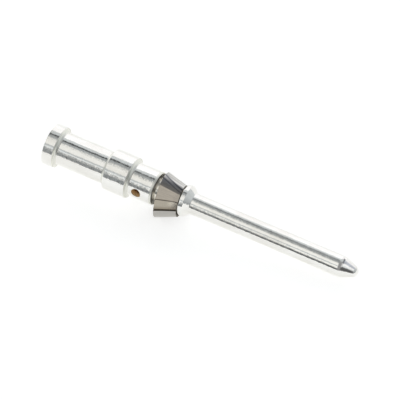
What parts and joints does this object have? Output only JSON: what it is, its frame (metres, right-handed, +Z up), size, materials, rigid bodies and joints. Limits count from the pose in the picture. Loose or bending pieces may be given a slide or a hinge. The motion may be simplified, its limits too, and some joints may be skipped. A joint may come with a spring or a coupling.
{
  "type": "crimp contact",
  "caption": "Turned male crimp contact: a long round pin, a stepped body with a hollow crimp barrel, and a split conical spring clip that holds it in a housing.",
  "frame": {"origin": "on the contact's axis, where the straight pin leaves the front flange", "axes": "+X along the contact's axis to the pin's tip, +Z up as it lies on its side, the inspection hole on the -Y side"},
  "size_m": [0.0252, 0.0036, 0.0035],
  "materials": {
    "silver_plate": "bright silver plating over turned brass, with fine turning marks",
    "spring_sheet": "bare rolled spring steel sheet, warm grey"
  },
  "bodies": {
    "root": {"contact_body": "silver_plate", "retention_clip": "spring_sheet"}
  },
  "joints": []
}
